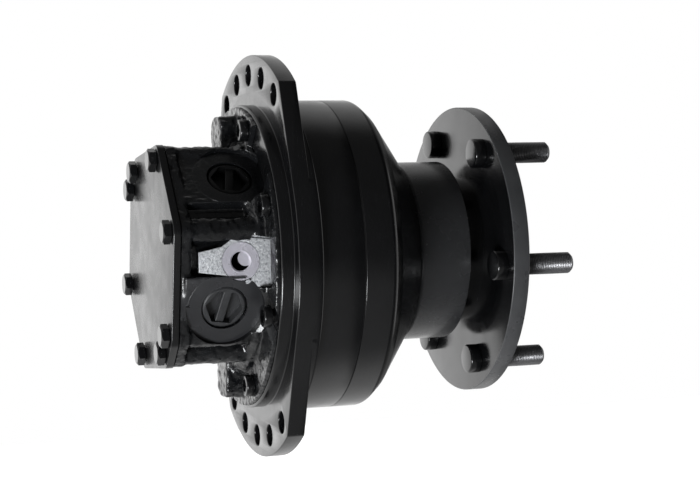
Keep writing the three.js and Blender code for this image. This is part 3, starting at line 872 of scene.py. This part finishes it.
def rear_casting():
    drain = radial_matrix(DRAIN["x"], 0)
    start = REAR_LOW.x
    foot_top = REAR_HIGH.x
    foot = [
        (FOOT_CONE["start"], 0, 0),
        (FOOT_CONE["start"], FOOT_CONE["r"], 2),
        (FOOT_CONE["end"], FOOT_R, 2),
        (foot_top, FOOT_R, 0.5),
        (foot_top, 0, 0),
    ]
    stock = [
        lathe("foot", foot, 128),
        rod(FLANGE["start"], FLANGE["seat"] + 4, FLANGE["r"] + 0.5, 160),
        rod(start - 3, foot_top - 1, CORE_R, 96),
        sheet_solid("web", [belt_outline(BOSS_CIRCLE, 2, COVER_ANGLES)], start - 3, WEB_END),
        turned(rod(40, PAD_R - 4, DRAIN["boss_r"], 64), drain),
        sheet_solid("rim", [belt_outline(BOSS_CIRCLE, 11.5, COVER_ANGLES)], start - 3, start + 8),
        lug(90),
        lug(-90),
    ]
    for angle in COVER_ANGLES:
        y, z = polar(BOSS_CIRCLE, angle)
        stock.append(moved(rod(start - 3, BOSS_END, BOSS_R, 40), 0, y, z))
    y, z = polar(BOSS_CIRCLE - FILLER["inset"], FILLER["angle"])
    stock.append(moved(rod(start - 3, BOSS_END, FILLER["r"], 24), 0, y, z))
    for port in PORTS.values():
        stock.append(port_block(port))
    body = melted(joined("rear_casting", stock), CAST_SKIN["voxel"], CAST_SKIN["passes"])
    pebbled(body, CAST_SKIN["grain"], CAST_SKIN["height"])
    outwards = radial_matrix(0, 0)
    notch = [(-21, -26), (-17.6, -8.6), (21.5, -8.6), (21.5, -26)]
    seat = FLANGE["seat"]
    under = [(*corner, 0) for corner in rectangle(seat, foot_top + 10, FOOT_R, OUTSIDE_R)]
    cuts = [
        rod(start - 5, start, OUTSIDE_R, 96),
        rod(foot_top, foot_top + 10, OUTSIDE_R, 96),
        lathe("under", under, 160, 5, True),
        turned(sheet_solid("notch", [notch], PAD_R - 1.5, FOOT_R + 10), outwards),
    ]
    combined(body, cuts, "DIFFERENCE")
    faces = [turned(sheet_solid("pad", [PAD], PAD_ROOT, PAD_R, 0.7), outwards)]
    faces += [port_disc(port) for port in PORTS.values()]
    combined(body, faces, "UNION")
    hole_r = DRAIN["hole_r"]
    face_r = DRAIN["face_r"]
    spot_r = DRAIN["spot_r"]
    cuts = [
        rod(foot_top, foot_top + 60, OUTSIDE_R, 96),
        rod(start - 1, CHAMBER["end"], CHAMBER["r"], 96),
        rod(CHAMBER["end"] - 1, WALL_BORE["end"], WALL_BORE["r"], 64),
        rod(WALL_BORE["end"] - 1, SEAT_BORE["end"], SEAT_BORE["r"], 96),
        rod(SEAT_BORE["end"], foot_top + 1, FOOT_BORE_R, 96),
        turned(rod(face_r, PAD_R + 1, spot_r, 96), drain),
    ]
    for port in PORTS.values():
        place = port_matrix(port)
        seat = PORT_FACE_R - PORT_BORES["seat_depth"]
        cuts.append(turned(port_clearance(), place))
        cuts.append(turned(rod(seat, FOOT_R + 10, PORT_BORES["seat_r"], 96), place))
        cuts.append(turned(rod(PORT_BORES["bottom"], PORT_FACE_R, PORT_BORES["thread_r"], 64), place))
    hole = lathe(
        "drain_hole",
        [
            (face_r - DRAIN["depth"] - 4, 0, 0),
            (face_r - DRAIN["depth"], hole_r, 0),
            (face_r - 1.0, hole_r, 0),
            (face_r + 2, hole_r + 3.0, 0),
            (face_r + 2, 0, 0),
        ],
        64,
    )
    shelf = moved(rod(face_r - DRAIN["depth"] - 5, face_r - 2.4, 6.2, 48), 0, -2.2, 4.4)
    combined(hole, [shelf], "DIFFERENCE")
    cuts.append(turned(hole, drain))
    groove = rectangle(face_r - 0.9, PAD_R + 1, spot_r - 0.5, spot_r)
    groove = [(*corner, 0) for corner in groove]
    cuts.append(turned(lathe("groove", groove, 96, 5, True), drain))
    combined(body, cuts, "DIFFERENCE")
    piece(body, HOUSING, "black_paint", ["rear_cover"], *REAR_PAINTS, angle=40.0)
    return bare_faces(body)


def end_cover():
    outline = belt_outline(BOSS_CIRCLE, 12.5, COVER_ANGLES)
    plate = sheet_solid("end_plate", [outline], COVER_LOW.x, COVER_HIGH.x, 0.7, 3)
    piece(plate, HOUSING, "cover_paint", ["end_cover"], PLATE_PAINT, BLACK)
    for face in plate.data.polygons:
        face.material_index = int(face.normal.x > -0.9)
    return plate


def hex_bolt(name, low, high, flats, head, shank_r):
    """A hex bolt with a chamfered head and a washer face, its head at the low end of x."""
    corner = flats / 2 / math.cos(math.pi / 6)
    body = sheet_solid(name, [hexagon(flats, 0.3)], low, low + head - 0.4)
    washer_r = flats / 2 - 0.5
    blank = [
        (low, 0, 0),
        (low, flats / 2 - 0.6, 0),
        (low + 1.6, corner + 0.1, 0),
        (low + head, corner + 0.1, 0),
        (low + head, 0, 0),
    ]
    combined(body, [lathe("blank", blank, 48)], "INTERSECT")
    shank = [
        (low + 1, 0, 0),
        (low + 1, washer_r, 0),
        (low + head, washer_r, 0.2),
        (low + head, shank_r, 0),
        (high, shank_r, 0.6),
        (high, 0, 0),
    ]
    return combined(body, [lathe("shank", shank, 48)], "UNION")


def cover_bolts():
    for node in COVER_BOLTS:
        low, high = box_mm(node)
        middle = (low + high) / 2
        bolt = hex_bolt(node + "_hex", low.x, high.x, **COVER_BOLT)
        moved(bolt, 0, middle.y, middle.z)
        piece(bolt, HOUSING, "bolt_steel", [node], BOLT)


def port_plugs():
    """Plastic plugs with a hexagon recess that a web divides."""
    top = PLUG["top"]
    floor = top - PLUG_RECESS["depth"]
    half = PLUG_WEB["half_width"]
    seat = PORT_FACE_R - 4.2
    for letter, port in PORTS.items():
        body = lathe(
            f"port_plug_{letter}_cap",
            [
                (PLUG["bottom"], 0, 0),
                (PLUG["bottom"], PLUG["shank_r"], 0.6),
                (seat, PLUG["shank_r"], 0),
                (seat, PLUG["r"], 0.3),
                (top - 1.4, PLUG["r"], 0.5),
                (top, PLUG["r"] - 1.6, 0.5),
                (top, 0, 0),
            ],
            96,
            4,
        )
        outline = rounded_hexagon(PLUG_RECESS["flats"], PLUG_RECESS["corner_r"])
        recess = sheet_solid("recess", [outline], floor, top + 1)
        turned(recess, Matrix.Rotation(math.radians(PLUG_RECESS["tilt"]), 4, "X"))
        outline = rectangle(-half, half, -PLUG["r"], PLUG["r"])
        web = sheet_solid("web", [outline], floor - 1, top - PLUG_WEB["below_top"], 0.6)
        turned(web, Matrix.Rotation(math.radians(PLUG_WEB["tilt"]), 4, "X"))
        combined(recess, [web], "DIFFERENCE")
        combined(body, [recess], "DIFFERENCE")
        turned(body, port_matrix(port))
        # Each plug takes its copy of the plastic: lighter below as painted light, darker above as painted
        # shade.
        piece(body, HOUSING, "plug_plastic", [f"port_plug_{letter}"], LIT_AND_SHADED_PLUGS[letter])


# ---------------------------------------------------------------- wheel side


def wheel_shaft():
    w = WHEEL_FLANGE
    r = SHAFT_HIGH.y
    tip = SHAFT_HIGH.x
    profile = [
        (26, 0, 0),
        (26, 24.5, 1.5),
        (60, 24.5, 0),
        (66, 23, 0),
        (66, 36, 1),
        (82, 36, 0),
        (82, 40, 0.5),
        (108, 40, 0),
        (108, 44, 0),
        (126, 44, 0),
        (126, 50, 0.5),
        (151, 50, 0),
        (151, 56, 0.5),
        (168, 56, 1),
        (170, w["hub_r"], 1),
        (w["back"], w["hub_r"], 0),
        (w["back"], r, 0.9),
        (w["front"], r, 0.9),
        (w["front"], w["pilot_r"], 1),
        (tip, w["pilot_r"], 1.5),
        (tip, 34, 1),
        (204, 34, 1.5),
        (204, 0, 0),
    ]
    shaft = lathe("wheel_flange_shaft", profile, 192, 4)
    piece(shaft, ROTOR, "black_paint", ["wheel_shaft"], BLACK, LIT_RIM_ENAMEL)
    # Painted light: the flange's rim takes the lighter copy of the enamel.
    for face in shaft.data.polygons:
        spot = face.center / MM
        face.material_index = int(w["back"] < spot.x < w["front"] and math.hypot(spot.y, spot.z) > r - 1)
    return shaft


def threaded_rod(name, x0, x1, r, pitch, depth, around=40, rows_per_turn=6):
    """A rod with a helical thread that fades in at x0 and out at a chamfered tip at x1."""
    step = pitch / rows_per_turn
    rows = int((x1 - x0) / step)
    verts = []
    faces = []
    for i in range(rows + 1):
        x = x0 + (x1 - x0) * i / rows
        fade = min(1.0, (x - x0) / (2 * pitch))
        tip = max(0.0, x - (x1 - 2.4))
        for j in range(around):
            phase = ((x / pitch) + j / around) % 1
            groove = depth * fade * (1 - abs(2 * phase - 1))
            a = 2 * math.pi * j / around
            rr = min(r - groove, r - tip)
            verts.append((x, rr * math.cos(a), rr * math.sin(a)))
    for i in range(rows):
        for j in range(around):
            k = (j + 1) % around
            faces.append((i * around + j, (i + 1) * around + j, (i + 1) * around + k, i * around + k))
    faces.append(tuple(range(around)))
    faces.append(tuple(rows * around + j for j in reversed(range(around))))
    return new_object(name, verts, faces)


def wheel_studs():
    seat = WHEEL_FLANGE["back"] - 0.3
    blank_r = STUD["blank_r"]
    blank_end = WHEEL_FLANGE["front"] + 4
    thread_start = WHEEL_FLANGE["front"] + 2
    for node in WHEEL_STUDS:
        low, high = box_mm(node)
        middle = (low + high) / 2
        head_r = (high.y - low.y) / 2
        head = lathe(
            node + "_bolt",
            [
                (low.x, 0, 0),
                (low.x, head_r, 1.6),
                (seat, head_r, 0.4),
                (seat, blank_r, 0),
                (blank_end, blank_r, 0),
                (blank_end, 0, 0),
            ],
            56,
            4,
        )
        shank = threaded_rod("thread", thread_start, high.x, STUD["r"], STUD["pitch"], STUD["thread"])
        combined(head, [shank], "UNION")
        moved(head, 0, middle.y, middle.z)
        piece(head, ROTOR, "stud_steel", [node], STUD_STEEL, BLACK)
        for face in head.data.polygons:
            face.material_index = int(face.center.x < WHEEL_FLANGE["back"] * MM)


def shaft_seal():
    low, high = box_mm("shaft_seal")
    ring = lathe(
        "shaft_seal_ring",
        [
            (low.x, 60, 0),
            (low.x, 67.9, 0.4),
            (high.x, 67.9, 0.6),
            (high.x, 59.4, 1),
            (high.x - 5, 57.2, 0.6),
            (160, 60, 1),
        ],
        128,
        4,
        True,
    )
    return piece(ring, HOUSING, "seal_rubber", ["shaft_seal"], RUBBER)


def inner_materials():
    finishes = {
        "ground_steel": GROUND,
        "dark_steel": DARK,
        "cast_iron": IRON,
        "seal_rubber": RUBBER,
    }
    slots = {entry["node"]: entry["material_slot"] for entry in frame["record"]["subparts"]}
    for name, node in frame["nodes"].items():
        finish = finishes.get(slots[name])
        if finish:
            node.data.materials.clear()
            node.data.materials.append(finish)


# ---------------------------------------------------------------- stage


class Sky(Tree):
    """The studio's light by direction, from a world's node tree."""

    def __init__(self, tree):
        super().__init__(tree)
        place = tree.nodes.new("ShaderNodeTexCoord")
        split = tree.nodes.new("ShaderNodeSeparateXYZ")
        self.link(place.outputs["Generated"], split.inputs["Vector"])
        self.x, self.y, self.z = split.outputs

    def ramp(self, source, low, high, to_low, to_high):
        return self.spread(source, low, high, to_low, to_high, smooth=True)

    def mix(self, factor, one, two):
        node = self.tree.nodes.new("ShaderNodeMix")
        node.data_type = "FLOAT"
        for socket, value in (("Factor", factor), ("A", one), ("B", two)):
            self.feed(node.inputs[socket], value)
        return node.outputs["Result"]


def studio_world():
    """A white sweep behind and below the motor, a soft ceiling behind it and a dark room in front."""
    world = bpy.data.worlds.new("studio")
    bpy.context.scene.world = world
    world.use_nodes = True
    background = world.node_tree.nodes["Background"]
    sky = Sky(world.node_tree)
    ceiling = sky.ramp(sky.y, 0.1, 0.62, 0.1, 0.6)
    ground = sky.ramp(sky.y, -0.35, 0.2, 0.36, 0.86)
    light = sky.mix(sky.ramp(sky.z, -0.5, 0.05, 0.0, 1.0), ground, ceiling)
    behind = sky.ramp(sky.y, 0.6, 0.95, 0.0, 1.0)
    level = sky.ramp(sky.maths("ABSOLUTE", sky.z, 0), 0.08, 0.45, 1.0, 0.0)
    light = sky.maths("ADD", light, sky.maths("MULTIPLY", sky.maths("MULTIPLY", behind, level), 0.45))
    light = sky.maths("MULTIPLY", light, sky.ramp(sky.x, 0.4, 0.47, 1.0, 0.22))
    left = sky.ramp(sky.x, -0.3, 0.2, 0.55, 0.0)
    light = sky.maths("ADD", light, sky.maths("MULTIPLY", left, behind))
    side = sky.ramp(sky.maths("ABSOLUTE", sky.x, 0), 0.8, 0.93, 0.0, 1.0)
    light = sky.maths("ADD", light, side)
    path = world.node_tree.nodes.new("ShaderNodeLightPath")
    strength = sky.mix(path.outputs["Is Camera Ray"], light, 1.0)
    world.node_tree.links.new(strength, background.inputs["Strength"])
    background.inputs["Color"].default_value = (1, 1, 1, 1)


def area_light(name, place, target, width, height, power, colour=(1, 1, 1)):
    light = bpy.data.lights.new(name, "AREA")
    light.shape = "RECTANGLE"
    light.size = width
    light.size_y = height
    light.energy = power
    light.color = colour
    obj = bpy.data.objects.new(name, light)
    obj.location = place
    obj.rotation_euler = (Vector(target) - Vector(place)).to_track_quat("-Z", "Y").to_euler()
    bpy.context.scene.collection.objects.link(obj)
    return obj


def stage():
    """A pale floor far below the motor, and one soft light from the lower left. Lengths are in metres."""
    half = 6.0
    drop = 0.9
    mesh = bpy.data.meshes.new("floor")
    corners = [(x, y, 0) for x, y in rectangle(-half, half, -half, half)]
    mesh.from_pydata(corners, [], [(0, 1, 2, 3)])
    floor = bpy.data.objects.new("floor", mesh)
    floor.location = (0, 0, CAD_BOX[0][2] - drop)
    floor.visible_glossy = False
    bpy.context.scene.collection.objects.link(floor)
    n = Nodes("pale_floor")
    n.base(n.colours(n.noise(3, 2), [(0.0, (0.86, 0.86, 0.86)), (1.0, (0.9, 0.9, 0.9))]))
    n.set(Roughness=0.9)
    path = n.tree.nodes.new("ShaderNodeLightPath")
    n.set(Emission_Color=(1, 1, 1, 1))
    n.link(path.outputs["Is Camera Ray"], n.shader.inputs["Emission Strength"])
    floor.data.materials.append(n.material)
    area_light("low_left_softbox", (-1.5, -1.6, -0.85), (0, 0, 0), 0.9, 0.55, 58, (0.96, 0.98, 1.0))


def camera():
    """The camera that was fitted to the photo. Angles are in degrees and lengths in metres."""
    target = Vector((0.0875, 0, 0.0022))
    distance = 1.38
    data = bpy.data.cameras.new("camera")
    data.lens = 81.66
    data.sensor_width = 36
    yaw = math.radians(18.276)
    pitch = math.radians(2.141)
    roll = math.radians(-1.314)
    level = math.cos(pitch)
    forward = Vector((math.sin(yaw) * level, math.cos(yaw) * level, -math.sin(pitch)))
    right = Vector((math.cos(yaw), -math.sin(yaw), 0))
    up = right.cross(forward)
    tilted_right = right * math.cos(roll) + up * math.sin(roll)
    tilted_up = up * math.cos(roll) - right * math.sin(roll)
    place = Matrix((tilted_right, tilted_up, -forward)).transposed().to_4x4()
    place.translation = target - forward * distance
    obj = bpy.data.objects.new("camera", data)
    obj.matrix_world = place
    bpy.context.scene.collection.objects.link(obj)
    bpy.context.scene.camera = obj


mounting_plate()
cam_ring()
front_housing()
housing_bolts()
rear_casting()
end_cover()
cover_bolts()
port_plugs()
wheel_shaft()
wheel_studs()
shaft_seal()
inner_materials()
studio_world()
stage()
camera()
bpy.context.scene.view_settings.view_transform = "Standard"
